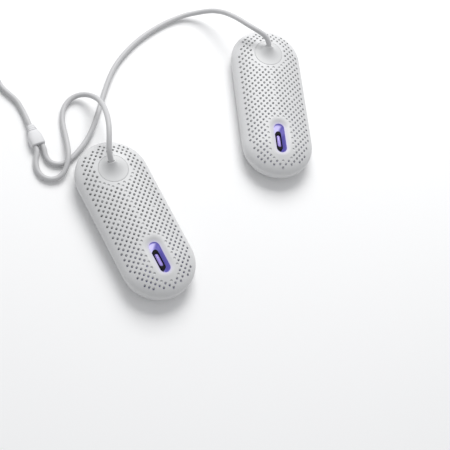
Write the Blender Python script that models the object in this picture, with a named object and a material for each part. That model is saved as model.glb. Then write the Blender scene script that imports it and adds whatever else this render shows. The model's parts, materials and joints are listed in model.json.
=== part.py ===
"""Boot dryer: two heated, perforated drying pods joined by a forked mains cord.

World frame in metres, +Z up. Both pods lie on their flat backs on z = 0 and the
origin is the middle of the floor area that the two pods cover. Each pod is built
in its own frame: x across, y along the pod towards the cable, z out of its face.
"""
import math

import bmesh
import bpy
import numpy as np
from mathutils import Matrix, Vector

# Driving dimensions, in metres.
HALF_WIDTH = 0.033          # half the width of a pod
END_CENTRE = 0.044          # centre of each round end, along y from mid-length
THICKNESS = 0.026           # back to crown
EQUATOR = 0.013             # height of the widest outline
BACK_EDGE = 0.010           # how far the rounded back edge reaches inwards
WALL = 0.002                # shell wall
PARTING = 0.0055            # height of the seam between the two shells
GAP = 0.0003                # clearance between touching pieces
END_GAP = 0.0008            # clearance at the end of a cord, which may meet its piece at a slant
LIP_THICK = 0.0008          # outer half of the overlapping seam
LIP_HEIGHT = 0.0018
ARC_STEPS = 12              # facets in each round end

VENT_PITCH = 0.0055         # grid of vent holes
VENT_RADIUS = 0.001
VENT_FIELD = 5.05 * VENT_PITCH

NOZZLE_Y = 0.046            # cable nozzle disc, near the top end
NOZZLE_RADIUS = 0.0132
NOZZLE_FLANGE = 0.0155
COLLAR_Y = 0.051
COLLAR_Z = 0.0285
COLLAR_RADIUS = 0.0032
BORE_RADIUS = 0.00275
BORE_DEPTH = 0.003
EXIT_LEAN = math.radians(45)
FLANGE_Z = 0.0198           # underside of the hidden flange that holds the disc
FLANGE_THICK = 0.0015
# Radius of each ring of the flare, and its share of the way from the face to the collar.
FLARE = ((0.0132, 0.0), (0.0112, 0.05), (0.0088, 0.16), (0.0066, 0.36), (0.0048, 0.66),
         (COLLAR_RADIUS, 1.0))

SLOT_Y = -0.0435            # lamp slot, towards the toe end
SLOT_HALF = 0.0099          # half the straight part of the slot
SLOT_OPENING = 0.0063       # radius of the hole in the shell
WELL_TOP = 0.0238
# Section of the lamp well, as (distance from the slot's axis, height), from its foot up outside.
WELL_SECTION = ((0.0046, 0.0074), (0.0052, 0.008), (0.0057, 0.0199), (0.008, 0.0199),
                (0.008, 0.0217), (0.00595, 0.0217), (0.00595, WELL_TOP), (0.0046, WELL_TOP),
                (0.0038, 0.0089))
HOLDER_HALF_WIDTH = 0.0026
HOLDER_TOP = 0.0203
LAMP_RADIUS = 0.002
LAMP_Z = 0.0175
LAMP_ENDS = (-0.0505, -0.0375)
LAMP_ROUND = 0.0007         # how far the lamp's ends are rounded

POST_X = 0.0165             # screw posts
POST_ROWS = (0.0, -0.044)
POST_RADIUS = 0.0036
POST_FOOT = 0.008
SCREW_BORE = 0.0015
SCREW_SINK = 0.003          # radius of the recess that a screw's head lies in
SCREW_SEAT = 0.0032
BOSS_RADIUS = 0.004
RIB_HALF = 0.0008           # half the thickness of a moulded rib

HEATER_ENDS = (0.007, 0.0332)       # the heater tray, along y
TRAY_HALF_WIDTH = 0.0185
TRAY_FOOT = 0.0023
TRAY_TOP = 0.0092
POCKET_HALF_WIDTH = 0.0125
POCKET_FLOOR = 0.0047
FIN_COUNT = 9
FIN_PITCH = 0.0042
FIN_HALF = 0.0006
FIN_ROOT = 0.0115
FIN_TIP = 0.018

BOARD_FOOT = 0.006
BOARD_TOP = 0.0076
CLAMP_ENDS = (0.0362, 0.0412)
CLAMPED_Z = 0.0052          # height of the lead where the clamp holds it

HALF_SPAN_X = 0.0888        # half the floor area that the pods cover
HALF_SPAN_Y = 0.1513
POD_TURNS = {"left": math.radians(55), "right": math.radians(33)}

CORD_RADIUS = 0.00235
WIRE_RADIUS = 0.0007
CORD_STEP = 0.0085          # spacing of the points along a cord

SPLITTER_MOUTH = (-0.1262, -0.0724)
SPLITTER_TURN = math.atan2(0.61, -0.79)
SPLITTER_LENGTH = 0.020
SPLITTER_HEIGHT = 0.0085
BRANCH_SPACING = 0.0066
CORD_IN_SPLITTER = 0.004

COIL_CENTRE = (-0.2290, -0.0530)
COIL_RADIUS = 0.027
COIL_BASE = 0.0013
TURN_PITCH = 0.0049
COIL_COLUMNS = 3
COIL_LAYERS = 2
TIE_ANGLE = math.radians(285)
TIE_WIDTH = 0.006
TIE_THICK = 0.001

PLUG_TAIL = (-0.2535, -0.0935)      # where the cord enters the plug's strain relief
PLUG_TURN = math.radians(-66)
PLUG_HEIGHT = 0.009
RELIEF_LENGTH = 0.026
PLUG_LENGTH = 0.030
PIN_LENGTH = 0.017
PIN_SPACING = 0.0127
PIN_THICK = 0.0015
PIN_WIDTH = 0.0064

# How far each branch runs straight out of its collar.
STRAIGHT_RUNS = {"left": (0.0035, 0.008), "right": (0.0018,)}

# Hand-laid cord routes in millimetres. Each starts past the straight exit.
LEFT_ROUTE = [
    (-70.3, -54.8, 38.0), (-74, -48.5, 40), (-78.5, -41, 40.2), (-84, -32.5, 37.2),
    (-90, -24, 31.5), (-96.5, -16, 24.5), (-103.3, -10, 17.6), (-110.5, -6.7, 11.8),
    (-118, -7, 7.3), (-124, -11.5, 4.5), (-127, -19, 3), (-126.6, -27.5, 2.6),
    (-123, -36, 2.6), (-117.5, -43.8, 3.2), (-111, -51.5, 4.6), (-105, -59.2, 6.4),
    (-99.9, -66.6, 7.8), (-96.2, -74.5, 7.2), (-94.5, -82.5, 5.2), (-96.2, -90, 3.6),
    (-102.2, -95.2, 2.8), (-110.2, -95.6, 2.6), (-117.2, -91, 2.8), (-122, -83.5, 3.4),
]
RIGHT_ROUTE = [
    (1.1, 126.8, 31.9), (-2, 128, 33.9), (-5.7, 128.4, 35.2), (-13.2, 128.5, 36.1),
    (-20.7, 129, 35.7), (-28, 130.5, 34.2), (-34.9, 132.4, 31.9), (-41.4, 134.4, 28.7),
    (-47.7, 136.2, 24.9), (-53.9, 137.3, 20.6), (-60, 137.4, 16.2), (-66.1, 135.9, 11.9),
    (-72, 133, 8.2), (-80, 127, 4.8), (-87.3, 118, 3),
    (-93.8, 106.7, 2.6), (-100, 92.5, 2.6), (-105.6, 75, 2.6), (-109, 56, 2.6),
    (-109.7, 37, 2.6), (-107, 19, 2.6), (-103, 2, 2.6), (-98.8, -14, 2.6),
    (-95.5, -29, 2.6), (-94, -42, 2.6), (-94.2, -53, 2.6), (-95.4, -62.5, 2.6),
    (-97.3, -70.8, 2.6), (-101.6, -77.3, 2.6), (-108.6, -80.2, 2.6), (-116, -77.4, 3),
]
MAIN_ROUTE = [
    (-151.4, -52.6, 2.9), (-157.6, -48.2, 2.6), (-165, -44, 2.6), (-174, -41.5, 2.6),
    (-183, -39.2, 2.6), (-190, -35.2, 3), (-203.5, -25.6, 3.6),
]
TAIL_ROUTE = [
    (-265.4, -61, 7.4), (-262.7, -72, 7), (-258.8, -82.5, 7.8),
]

COLOURS = {
    "white_shell": ((0.86, 0.865, 0.87), 0.42, 0.0),
    "back_shell": ((0.80, 0.805, 0.81), 0.50, 0.0),
    "nozzle_plastic": ((0.84, 0.85, 0.85), 0.45, 0.0),
    "cord_jacket": ((0.66, 0.66, 0.67), 0.50, 0.0),
    "splitter_plastic": ((0.82, 0.82, 0.83), 0.50, 0.0),
    "tie_strap": ((0.75, 0.75, 0.76), 0.60, 0.0),
    "plug_plastic": ((0.80, 0.80, 0.81), 0.45, 0.0),
    "brass_pins": ((0.80, 0.68, 0.38), 0.25, 1.0),
    "steel": ((0.62, 0.62, 0.63), 0.30, 1.0),
    "aluminium": ((0.78, 0.79, 0.80), 0.40, 1.0),
    "heater_ceramic": ((0.72, 0.66, 0.56), 0.70, 0.0),
    "insulator": ((0.35, 0.30, 0.24), 0.65, 0.0),
    "board_green": ((0.05, 0.24, 0.12), 0.45, 0.0),
    "black_plastic": ((0.02, 0.02, 0.022), 0.45, 0.0),
    "copper_winding": ((0.60, 0.28, 0.12), 0.40, 0.6),
    "lamp_glass": ((0.62, 0.55, 0.95), 0.10, 0.0),
    "well_violet": ((0.45, 0.40, 0.82), 0.35, 0.0),
    "wire_red": ((0.45, 0.06, 0.05), 0.50, 0.0),
}


# Scene helpers.

def clear_scene():
    for obj in list(bpy.data.objects):
        bpy.data.objects.remove(obj, do_unlink=True)


def material(name):
    found = bpy.data.materials.get(name)
    if found:
        return found
    colour, roughness, metallic = COLOURS[name]
    made = bpy.data.materials.new(name)
    made.use_nodes = True
    shader = made.node_tree.nodes["Principled BSDF"]
    shader.inputs["Base Color"].default_value = (*colour, 1.0)
    shader.inputs["Roughness"].default_value = roughness
    shader.inputs["Metallic"].default_value = metallic
    made.diffuse_color = (*colour, 1.0)
    return made


def add_object(name, data, slot, parent=None):
    obj = bpy.data.objects.new(name, data)
    bpy.context.collection.objects.link(obj)
    obj.data.materials.append(material(slot))
    obj.parent = parent
    return obj


def finish_mesh(bm, name, slot, parent=None):
    """Turn a bmesh into a named object with its faces pointing out."""
    bmesh.ops.recalc_face_normals(bm, faces=bm.faces)
    mesh = bpy.data.meshes.new(name)
    bm.to_mesh(mesh)
    bm.free()
    mesh.shade_smooth()
    mesh.set_sharp_from_angle(angle=math.radians(35))
    return add_object(name, mesh, slot, parent)


def make_helper(obj):
    """A cutter or a guide: it shapes another piece and isn't one itself."""
    obj.hide_render = True
    obj.display_type = "WIRE"
    return obj


def add_boolean(obj, other, operation):
    step = obj.modifiers.new(operation.lower(), "BOOLEAN")
    step.operation = operation
    step.solver = "EXACT"
    step.object = other


# Solids built in a bmesh, so that one object can hold a group of them.

def add_box(bm, low, high):
    centre = (Vector(low) + Vector(high)) / 2
    size = Vector(high) - Vector(low)
    matrix = Matrix.Translation(centre) @ Matrix.Diagonal((*size, 1.0))
    return bmesh.ops.create_cube(bm, size=1.0, matrix=matrix)["verts"]


def add_rod(bm, start, end, radius, sides=12, end_radius=None):
    start, end = Vector(start), Vector(end)
    turn = (end - start).to_track_quat("Z", "Y").to_matrix().to_4x4()
    matrix = Matrix.Translation((start + end) / 2) @ turn
    last = radius if end_radius is None else end_radius
    bmesh.ops.create_cone(bm, cap_ends=True, segments=sides, radius1=radius, radius2=last,
                          depth=(end - start).length, matrix=matrix)


def add_prism(bm, outline, axis, start, end):
    """Extrude a flat outline of (a, b) pairs along axis 0, 1 or 2."""
    def place(pair, along):
        point = list(pair)
        point.insert(axis, along)
        return point
    first = [bm.verts.new(place(pair, start)) for pair in outline]
    last = [bm.verts.new(place(pair, end)) for pair in outline]
    bm.faces.new(first)
    bm.faces.new(last[::-1])
    bridge(bm, first, last)


def bridge(bm, ring_a, ring_b):
    count = len(ring_a)
    for i in range(count):
        j = (i + 1) % count
        bm.faces.new((ring_a[i], ring_a[j], ring_b[j], ring_b[i]))


def skin(bm, rings, capped=True):
    """Join rings of points into a solid, capped at both ends or closed on itself."""
    made = [[bm.verts.new(point) for point in ring] for ring in rings]
    for ring_a, ring_b in zip(made, made[1:]):
        bridge(bm, ring_a, ring_b)
    if capped:
        bm.faces.new(made[0])
        bm.faces.new(made[-1])
    else:
        bridge(bm, made[-1], made[0])


def stadium(radius, z, half=END_CENTRE, centre_y=0.0, steps=ARC_STEPS):
    """Outline at one distance from the pod's middle line: two arcs and two sides."""
    ring = []
    for end, first in ((half, 0.0), (-half, math.pi)):
        for i in range(steps + 1):
            angle = first + math.pi * i / steps
            ring.append((radius * math.cos(angle), centre_y + end + radius * math.sin(angle), z))
    return ring


def add_stadium(bm, profile, half, centre_y, steps):
    skin(bm, [stadium(radius, z, half, centre_y, steps) for radius, z in profile])


# The pod's section: a half ellipse in front and a tighter rounded edge behind.

def face_height(distance, inset=0.0):
    """Height of the front face, or of its inner side, at a distance from the middle line."""
    reach = HALF_WIDTH - inset
    depth = THICKNESS - EQUATOR - inset
    return EQUATOR + depth * math.sqrt(max(0.0, 1 - (distance / reach) ** 2))


def back_reach(z, inset=0.0):
    """Half width of the pod at a height below the widest outline."""
    drop = (EQUATOR - z) / (EQUATOR - inset)
    side = (BACK_EDGE - inset) * math.sqrt(max(0.0, 1 - drop ** 2))
    return HALF_WIDTH - BACK_EDGE + side


def middle_distance(x, y):
    return math.hypot(x, max(abs(y) - END_CENTRE, 0.0))


def front_profile():
    cap = 0.004
    tilts = [math.radians(a) for a in (80, 68, 54, 40, 26, 12)]
    outer = [(cap, face_height(cap))]
    outer += [(HALF_WIDTH * math.cos(a), EQUATOR + (THICKNESS - EQUATOR) * math.sin(a)) for a in tilts]
    outer += [(HALF_WIDTH, EQUATOR), (back_reach(0.009), 0.009), (back_reach(PARTING), PARTING)]
    seam = back_reach(PARTING) - LIP_THICK
    inner_reach = HALF_WIDTH - WALL
    inner_depth = THICKNESS - EQUATOR - WALL
    lip_top = PARTING + LIP_HEIGHT
    inner = [(seam, PARTING), (seam, lip_top), (back_reach(lip_top, WALL), lip_top)]
    inner += [(back_reach(0.0095, WALL), 0.0095), (inner_reach, EQUATOR)]
    inner += [(inner_reach * math.cos(a), EQUATOR + inner_depth * math.sin(a)) for a in tilts[::-1]]
    inner += [(cap, face_height(cap, WALL))]
    return outer + inner


def rear_profile():
    seam_z = PARTING - GAP
    heights = (0.0, 0.0003, 0.0012, 0.0028)
    outer = [(back_reach(z), z) for z in heights] + [(back_reach(seam_z), seam_z)]
    tongue = back_reach(PARTING) - LIP_THICK - GAP
    tongue_top = PARTING + LIP_HEIGHT - GAP
    inner = [(tongue, seam_z), (tongue, tongue_top), (back_reach(PARTING, WALL), tongue_top)]
    inner += [(back_reach(0.0045, WALL), 0.0045), (back_reach(0.0029, WALL), 0.0029)]
    inner += [(back_reach(WALL, WALL) - 0.001, WALL)]
    return outer + inner


def vent_places():
    """Open vents of the coarse grid: clear of the nozzle, slot, rib and screw posts."""
    places = []
    for column in (-4, -2, 2, 4):
        for row in range(-14 + column % 4 // 2, 15, 2):
            x, y = column * VENT_PITCH, row * VENT_PITCH
            along = max(abs(y - SLOT_Y) - SLOT_HALF, 0.0)
            near_slot = math.hypot(x, along) < 2.35 * VENT_PITCH
            near_nozzle = math.hypot(x, y - NOZZLE_Y) < 3.35 * VENT_PITCH
            in_field = middle_distance(x, y) <= VENT_FIELD
            if in_field and not near_slot and not near_nozzle:
                places.append((x, y))
    return places


# Pieces of a pod.

def post_places():
    return [(side * POST_X, row) for row in POST_ROWS for side in (-1, 1)]


def front_shell(side, pod):
    bm = bmesh.new()
    skin(bm, [stadium(radius, z) for radius, z in front_profile()])
    shell = finish_mesh(bm, f"front_shell_{side}", "white_shell", pod)

    bm = bmesh.new()
    for x, y in post_places():
        add_rod(bm, (x, y, POST_FOOT), (x, y, 0.0232), POST_RADIUS)
    add_box(bm, (-RIB_HALF, -0.024, 0.0205), (RIB_HALF, 0.030, 0.0249))
    ribs = make_helper(finish_mesh(bm, f"rib_guide_{side}", "white_shell", pod))
    add_boolean(shell, ribs, "UNION")

    bm = bmesh.new()
    for x, y in vent_places():
        add_rod(bm, (x, y, 0.0145), (x, y, 0.029), VENT_RADIUS, 6)
    for x, y in post_places():
        add_rod(bm, (x, y, 0.006), (x, y, 0.015), SCREW_BORE, 8)
    add_rod(bm, (0, NOZZLE_Y, 0.015), (0, NOZZLE_Y, 0.030), NOZZLE_RADIUS + GAP, 32)
    slot = [(SLOT_OPENING, 0.015), (SLOT_OPENING, 0.030)]
    add_stadium(bm, slot, SLOT_HALF, SLOT_Y, 8)
    cuts = make_helper(finish_mesh(bm, f"front_cutter_{side}", "white_shell", pod))
    add_boolean(shell, cuts, "DIFFERENCE")


def rear_shell(side, pod):
    bm = bmesh.new()
    skin(bm, [stadium(radius, z) for radius, z in rear_profile()])
    shell = finish_mesh(bm, f"rear_shell_{side}", "back_shell", pod)

    bm = bmesh.new()
    for x, y in post_places():
        add_rod(bm, (x, y, 0.001), (x, y, POST_FOOT - GAP), BOSS_RADIUS)
    for y in (-0.018, 0.0):
        add_box(bm, (-0.011, y - RIB_HALF, 0.001), (0.011, y + RIB_HALF, BOARD_FOOT - GAP))
    bosses = make_helper(finish_mesh(bm, f"boss_guide_{side}", "back_shell", pod))
    add_boolean(shell, bosses, "UNION")

    bm = bmesh.new()
    for x, y in post_places():
        skin(bm, [circle((x, y, z), radius, 12) for radius, z in
                  ((SCREW_SINK, -0.001), (SCREW_SINK, SCREW_SEAT), (SCREW_BORE, SCREW_SEAT),
                   (SCREW_BORE, 0.009))])
    holes = make_helper(finish_mesh(bm, f"rear_cutter_{side}", "back_shell", pod))
    add_boolean(shell, holes, "DIFFERENCE")


def circle(centre, radius, sides, lean=0.0):
    """Ring of points about a centre, leaning from +z towards +y."""
    ring = []
    for i in range(sides):
        angle = 2 * math.pi * i / sides
        across, along = radius * math.cos(angle), radius * math.sin(angle)
        offset = Vector((across, along * math.cos(lean), -along * math.sin(lean)))
        ring.append(Vector(centre) + offset)
    return ring


def exit_axis():
    return Vector((0, math.sin(EXIT_LEAN), math.cos(EXIT_LEAN)))


def cable_nozzle(side, pod):
    """Disc in the face that flares up into a leaning collar for the cable."""
    sides = 28
    tip = Vector((0, COLLAR_Y, COLLAR_Z))
    shoulder = FLANGE_Z + FLANGE_THICK
    rings = [circle((0, NOZZLE_Y, FLANGE_Z), NOZZLE_FLANGE, sides),
             circle((0, NOZZLE_Y, shoulder), NOZZLE_FLANGE, sides),
             circle((0, NOZZLE_Y, shoulder), NOZZLE_RADIUS, sides)]
    for radius, rise in FLARE:
        base = circle((0, NOZZLE_Y, 0), radius, sides)
        for point in base:
            point.z = face_height(middle_distance(point.x, point.y))
        leaning = circle(tip, radius, sides, EXIT_LEAN)
        rings.append([low.lerp(high, rise) for low, high in zip(base, leaning)])
    rings.append(circle(tip, BORE_RADIUS, sides, EXIT_LEAN))
    rings.append(circle(tip - exit_axis() * BORE_DEPTH, BORE_RADIUS, sides, EXIT_LEAN))
    bm = bmesh.new()
    skin(bm, rings)
    finish_mesh(bm, f"cable_nozzle_{side}", "nozzle_plastic", pod)


def case_screws(side, pod):
    head, shank, under_head = 0.0027, 0.0012, SCREW_SEAT - GAP
    profile = ((head, 0.0016), (head, under_head), (shank, under_head), (shank, 0.013))
    for number, (x, y) in enumerate(post_places(), 1):
        bm = bmesh.new()
        skin(bm, [circle((x, y, z), radius, 10) for radius, z in profile])
        finish_mesh(bm, f"case_screw_{side}_{number}", "steel", pod)


def lamp_parts(side, pod):
    bm = bmesh.new()
    add_stadium(bm, WELL_SECTION, SLOT_HALF, SLOT_Y, 8)
    finish_mesh(bm, f"lamp_well_{side}", "well_violet", pod)

    low, floor, high = 0.0092, LAMP_Z - LAMP_RADIUS - GAP, HOLDER_TOP
    cradle = [(-0.0538, low), (-0.0342, low), (-0.0342, high), (-0.0372, high),
              (-0.0372, floor), (-0.0508, floor), (-0.0508, high), (-0.0538, high)]
    bm = bmesh.new()
    add_prism(bm, cradle, 0, -HOLDER_HALF_WIDTH, HOLDER_HALF_WIDTH)
    finish_mesh(bm, f"lamp_holder_{side}", "black_plastic", pod)

    bm = bmesh.new()
    low, high = LAMP_ENDS
    profile = ((0.0012, low), (LAMP_RADIUS, low + LAMP_ROUND), (LAMP_RADIUS, high - LAMP_ROUND),
               (0.0012, high))
    rings = []
    for radius, y in profile:
        rings.append([(p.x, y, LAMP_Z + p.y) for p in circle((0, 0, 0), radius, 12)])
    skin(bm, rings)
    finish_mesh(bm, f"uv_lamp_{side}", "lamp_glass", pod)


def heater_parts(side, pod):
    low_y, high_y = HEATER_ENDS
    bm = bmesh.new()
    add_box(bm, (-TRAY_HALF_WIDTH, low_y, TRAY_FOOT), (TRAY_HALF_WIDTH, high_y, TRAY_TOP))
    tray = finish_mesh(bm, f"heater_tray_{side}", "insulator", pod)
    bm = bmesh.new()
    add_box(bm, (-POCKET_HALF_WIDTH, low_y + 0.003, POCKET_FLOOR),
            (POCKET_HALF_WIDTH, high_y - 0.0027, 0.012))
    pocket = make_helper(finish_mesh(bm, f"tray_cutter_{side}", "insulator", pod))
    add_boolean(tray, pocket, "DIFFERENCE")

    bm = bmesh.new()
    add_box(bm, (-0.012, low_y + 0.0035, POCKET_FLOOR + GAP), (0.012, high_y - 0.0032, TRAY_TOP))
    finish_mesh(bm, f"ptc_heater_{side}", "heater_ceramic", pod)

    edge, foot = 0.018, TRAY_TOP + GAP
    outline = [(-edge, foot), (edge, foot), (edge, FIN_ROOT)]
    for i in range(FIN_COUNT):
        x = FIN_PITCH * ((FIN_COUNT - 1) / 2 - i)
        outline += [(x + FIN_HALF, FIN_ROOT), (x + FIN_HALF, FIN_TIP),
                    (x - FIN_HALF, FIN_TIP), (x - FIN_HALF, FIN_ROOT)]
    outline.append((-edge, FIN_ROOT))
    bm = bmesh.new()
    add_prism(bm, outline, 1, low_y + 0.001, high_y - 0.0007)
    finish_mesh(bm, f"heat_spreader_{side}", "aluminium", pod)

    bm = bmesh.new()
    add_rod(bm, (0.0206, 0.014, 0.0116), (0.0206, 0.025, 0.0116), 0.0018, 10)
    finish_mesh(bm, f"thermal_fuse_{side}", "steel", pod)


def board_parts(side, pod):
    bm = bmesh.new()
    add_box(bm, (-0.012, -0.021, BOARD_FOOT), (0.012, 0.0032, BOARD_TOP))
    finish_mesh(bm, f"control_board_{side}", "board_green", pod)

    foot = BOARD_TOP + GAP
    bm = bmesh.new()
    core = [(-0.009, foot), (0.002, foot), (0.002, 0.0165), (-0.009, 0.0165),
            (-0.009, 0.0142), (-0.0015, 0.0142), (-0.0015, 0.0102), (-0.009, 0.0102)]
    add_prism(bm, core, 1, -0.0185, -0.0065)
    finish_mesh(bm, f"transformer_core_{side}", "black_plastic", pod)

    bm = bmesh.new()
    add_box(bm, (-0.0094, -0.0175, 0.0105), (-0.0018, -0.0075, 0.0139))
    finish_mesh(bm, f"transformer_coil_{side}", "copper_winding", pod)

    bm = bmesh.new()
    add_rod(bm, (0.0072, -0.0145, foot), (0.0072, -0.0145, 0.017), 0.0032)
    finish_mesh(bm, f"board_capacitor_{side}", "black_plastic", pod)

    bm = bmesh.new()
    add_box(bm, (-0.0035, -0.0045, foot), (0.0035, 0.0005, 0.0112))
    finish_mesh(bm, f"board_rectifier_{side}", "black_plastic", pod)


def cord_clamp(side, pod):
    low_y, high_y = CLAMP_ENDS
    bm = bmesh.new()
    add_box(bm, (-0.0075, low_y, TRAY_FOOT), (0.0075, high_y, 0.0085))
    clamp = finish_mesh(bm, f"cord_clamp_{side}", "black_plastic", pod)
    bm = bmesh.new()
    start, end = (0, low_y - 0.002, CLAMPED_Z), (0, high_y + 0.002, CLAMPED_Z)
    add_rod(bm, start, end, CORD_RADIUS + GAP)
    channel = make_helper(finish_mesh(bm, f"clamp_cutter_{side}", "black_plastic", pod))
    add_boolean(clamp, channel, "DIFFERENCE")


def add_tube(name, points, radius, slot, parent=None):
    """Round tube with filled ends along the points."""
    curve = bpy.data.curves.new(name, "CURVE")
    curve.dimensions = "3D"
    curve.bevel_depth = radius
    curve.bevel_resolution = 2
    curve.use_fill_caps = True
    spline = curve.splines.new("POLY")
    spline.points.add(len(points) - 1)
    for target, point in zip(spline.points, points):
        target.co = (*point, 1.0)
    return add_object(name, curve, slot, parent)


def wiring(side, pod):
    """Sheathed lead from the nozzle to the clamp, and the loose wires beyond it."""
    lead = [(0, 46.4, 19.1), (0, 47.4, 16), (0, 48, 12.6), (0, 47, 9), (0, 44.6, 6.3), (0, 41.5, 5.3),
            (0, 38.5, 5.2), (0, 35.9, 5.2)]
    places = smooth_route([metres(point) for point in lead], 0.004)
    add_tube(f"inner_lead_{side}", places, CORD_RADIUS, "cord_jacket", pod)
    supply = [(-1.4, 34.75, 5.6), (-8, 34.75, 5.6), (-17.5, 34.8, 5.6), (-22, 32.4, 5.4), (-22.6, 24, 5.2),
              (-22.5, 11, 5.4), (-20.8, 6, 6), (-16, 5.3, 6.8), (-11.5, 4.8, 7.8), (-10.2, 1.5, 8.8)]
    lamp = [(4, -19.6, 8.8), (4.2, -23.4, 8.4), (4.2, -26.8, 6.2), (3.6, -31.5, 4.8), (3, -36, 5.6)]
    for name, run in (("supply_wire", supply), ("lamp_wire", lamp)):
        places = smooth_route([metres(point) for point in run], 0.004)
        add_tube(f"{name}_{side}", places, WIRE_RADIUS, "wire_red", pod)


# Cords.

def metres(point):
    return Vector(point) / 1000


def smooth_route(points, step):
    """Even steps along the natural cubic spline through the points."""
    data = np.array([tuple(point) for point in points])
    spans = np.linalg.norm(np.diff(data, axis=0), axis=1)
    count = len(data)
    system, right = np.eye(count), np.zeros((count, 3))
    for i in range(1, count - 1):
        before, after = spans[i - 1], spans[i]
        system[i, i - 1:i + 2] = before, 2 * (before + after), after
        right[i] = 6 * ((data[i + 1] - data[i]) / after - (data[i] - data[i - 1]) / before)
    bend = np.linalg.solve(system, right)
    dense = []
    for i, span in enumerate(spans):
        for part in np.linspace(0, 1, 24, endpoint=False):
            a, b = 1 - part, part
            pull = (a ** 3 - a) * bend[i] + (b ** 3 - b) * bend[i + 1]
            dense.append(a * data[i] + b * data[i + 1] + pull * span ** 2 / 6)
    dense = np.array([*dense, data[-1]])
    travel = np.concatenate(([0], np.cumsum(np.linalg.norm(np.diff(dense, axis=0), axis=1))))
    stops = np.linspace(0, travel[-1], max(2, round(travel[-1] / step) + 1))
    return [Vector([np.interp(stop, travel, dense[:, k]) for k in range(3)]) for stop in stops]


def pod_place(side):
    turn = POD_TURNS[side]
    reach_x = HALF_WIDTH + END_CENTRE * math.sin(turn)
    reach_y = HALF_WIDTH + END_CENTRE * math.cos(turn)
    if side == "left":
        centre = Vector((reach_x - HALF_SPAN_X, reach_y - HALF_SPAN_Y, 0))
    else:
        centre = Vector((HALF_SPAN_X - reach_x, HALF_SPAN_Y - reach_y, 0))
    return Matrix.Translation(centre) @ Matrix.Rotation(turn, 4, "Z")


def exit_points(side):
    """Start of a branch: inside the bore, then straight out of the collar."""
    place = pod_place(side)
    tip = Vector((0, COLLAR_Y, COLLAR_Z))
    runs = (GAP - BORE_DEPTH, 0.0, *STRAIGHT_RUNS[side])
    return [place @ (tip + exit_axis() * run) for run in runs]


def splitter_point(along, across, z=CORD_IN_SPLITTER):
    x, y = SPLITTER_MOUTH
    ahead = Vector((math.cos(SPLITTER_TURN), math.sin(SPLITTER_TURN), 0))
    aside = Vector((-ahead.y, ahead.x, 0))
    return Vector((x, y, z)) + ahead * along + aside * across


def cords():
    """The two branches, and the mains lead before and after its wound part."""
    paths = {}
    for side, route, across in (("left", LEFT_ROUTE, 0.5), ("right", RIGHT_ROUTE, -0.5)):
        inside, *outside = exit_points(side)
        ends = [splitter_point(back, across * BRANCH_SPACING) for back in (-0.004, -END_GAP)]
        run = outside + [metres(p) for p in route] + ends
        paths[f"cord_{side}"] = [inside] + smooth_route(run, CORD_STEP)
    starts = [splitter_point(SPLITTER_LENGTH + run, 0) for run in (END_GAP, 0.004)]
    paths["main_cord"] = smooth_route(starts + [metres(p) for p in MAIN_ROUTE], CORD_STEP)
    ahead = Vector((math.cos(PLUG_TURN), math.sin(PLUG_TURN), 0))
    ends = [Vector((*PLUG_TAIL, PLUG_HEIGHT)) - ahead * run for run in (0.004, END_GAP)]
    paths["plug_lead"] = smooth_route([metres(p) for p in TAIL_ROUTE] + ends, CORD_STEP)
    for name, path in paths.items():
        add_tube(name, path, CORD_RADIUS, "cord_jacket")


def rounded_outline(half_wide, half_high, power, sides):
    """Superellipse: 1 gives an ellipse, and less gives a squarer outline."""
    outline = []
    for i in range(sides):
        angle = 2 * math.pi * i / sides
        wide = math.copysign(abs(math.cos(angle)) ** power, math.cos(angle))
        high = math.copysign(abs(math.sin(angle)) ** power, math.sin(angle))
        outline.append((wide * half_wide, high * half_high))
    return outline


def splitter():
    """Flat moulded fork: two branches side by side at one end, the mains lead at the other."""
    bm = bmesh.new()
    rings = []
    middle = SPLITTER_HEIGHT / 2
    for along, half_wide, half_high in ((0, 0.0058, 0.0036), (0.0006, 0.0066, middle),
                                        (0.008, 0.0066, middle), (0.0145, 0.0048, 0.0040),
                                        (SPLITTER_LENGTH, 0.0034, 0.0032)):
        outline = rounded_outline(half_wide, half_high, 0.6, 16)
        rings.append([splitter_point(along, wide, middle + high) for wide, high in outline])
    skin(bm, rings)
    finish_mesh(bm, "cord_splitter", "splitter_plastic")


def coil():
    """Outer form of the wound lead, and the strap that holds its turns."""
    reach = TURN_PITCH * (COIL_COLUMNS - 1) / 2 + CORD_RADIUS
    low, high = COIL_BASE, COIL_BASE + TURN_PITCH * (COIL_LAYERS - 1) + 2 * CORD_RADIUS
    inner, outer, round_off = COIL_RADIUS - reach, COIL_RADIUS + reach, 0.0012
    section = [(inner, low + round_off), (inner + round_off, low), (outer - round_off, low),
               (outer, low + round_off), (outer, high - round_off), (outer - round_off, high),
               (inner + round_off, high), (inner, high - round_off)]
    rings = [circle((*COIL_CENTRE, z), radius, 32) for radius, z in section]
    bm = bmesh.new()
    skin(bm, rings, capped=False)
    finish_mesh(bm, "cord_coil", "cord_jacket")

    bm = bmesh.new()
    clear = GAP + TIE_THICK
    frame = Matrix.Translation((*COIL_CENTRE, 0)) @ Matrix.Rotation(TIE_ANGLE, 4, "Z")
    near = math.sqrt(inner ** 2 - (TIE_WIDTH / 2) ** 2) - GAP / 2
    rings = []
    for grow in (GAP, clear):
        for y in (-TIE_WIDTH / 2, TIE_WIDTH / 2):
            corners = [(near - grow, y, low - grow), (outer + grow, y, low - grow),
                       (outer + grow, y, high + grow), (near - grow, y, high + grow)]
            rings.append([frame @ Vector(corner) for corner in corners])
    skin(bm, [rings[0], rings[1], rings[3], rings[2]], capped=False)
    finish_mesh(bm, "coil_tie", "tie_strap")


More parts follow.
